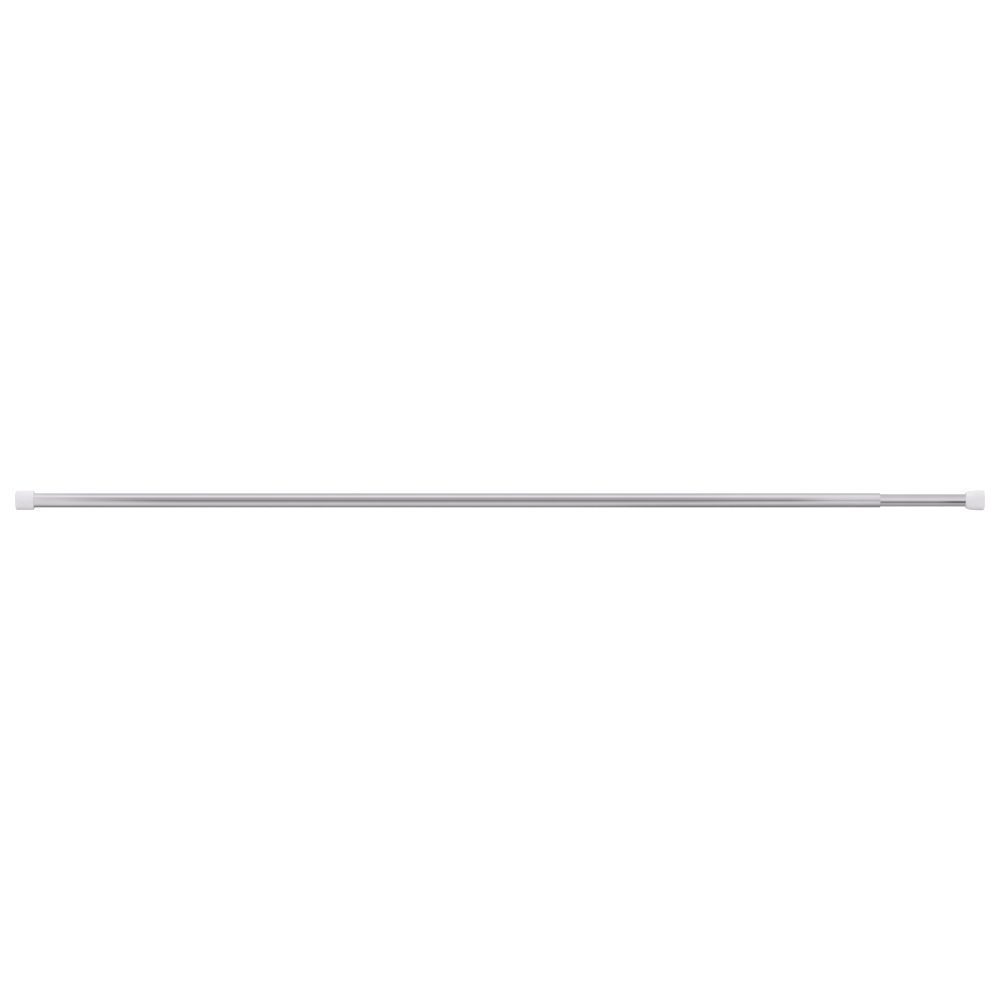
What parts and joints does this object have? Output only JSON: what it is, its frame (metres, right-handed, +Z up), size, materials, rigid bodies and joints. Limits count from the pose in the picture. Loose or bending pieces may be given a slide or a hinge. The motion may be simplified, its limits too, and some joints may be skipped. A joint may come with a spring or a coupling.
{
  "type": "cargo tension bar",
  "caption": "Telescopic chrome cargo bar with rubber end feet, an internal twist lock and a spring that wedges it across a pickup bed.",
  "frame": {"origin": "centre of the wall face of the large tube's foot", "axes": "+X along the bar from the large tube's foot to the thin tube's foot, +Z up with the bar lying across the bed"},
  "size_m": [1.6875, 0.0356, 0.0356],
  "materials": {
    "chrome_tube": "bright chrome plate on drawn steel tube",
    "foot_rubber": "off-white moulded rubber, satin",
    "white_nylon": "natural white moulded nylon",
    "black_nylon": "black moulded nylon",
    "zinc_steel": "zinc plated steel",
    "spring_steel": "drawn spring wire, oiled",
    "black_rubber": "black rubber ring"
  },
  "bodies": {
    "large_tube": {"outer_foot": "foot_rubber", "outer_end_plug": "white_nylon", "outer_tube": "chrome_tube", "mouth_guide_bush": "white_nylon"},
    "lock_sleeve": {"expander_sleeve": "white_nylon"},
    "lock_wedge": {"wedge_nut": "black_nylon", "drag_ring": "black_rubber"},
    "lock_spindle": {"spindle": "zinc_steel", "screw_stop_nut": "zinc_steel", "thrust_washer": "zinc_steel", "retaining_ring": "spring_steel", "spring_seat_fixed": "zinc_steel", "spring": "spring_steel", "stop_washer": "zinc_steel", "stop_lock_nut": "zinc_steel"},
    "thin_tube": {"spring_seat_moving": "zinc_steel", "spindle_bush": "black_nylon", "inner_tube": "chrome_tube", "inner_end_plug": "white_nylon", "inner_foot": "foot_rubber"}
  },
  "joints": [
    {"name": "telescope", "type": "slide", "parent": "large_tube", "child": "lock_sleeve", "axis": [1, 0, 0], "range_m": [-0.1, 0.5]},
    {"name": "twist_lock", "type": "hinge", "parent": "lock_sleeve", "child": "lock_spindle", "pos_m": [0.672, 0, 0], "axis": [1, 0, 0], "range_deg": [0, 540]},
    {"name": "wedge_feed", "type": "slide", "parent": "lock_sleeve", "child": "lock_wedge", "axis": [1, 0, 0], "range_m": [-0.0019, 0]},
    {"name": "push_spring", "type": "slide", "parent": "lock_spindle", "child": "thin_tube", "axis": [1, 0, 0], "range_m": [-0.04, 0], "stiffness_N_per_m": 2600, "springref_m": 0.01, "deforming": ["spring"]}
  ],
  "couplings": [
    {"joint": "wedge_feed", "follows": "twist_lock", "m_per_rad": -0.00019894}
  ]
}
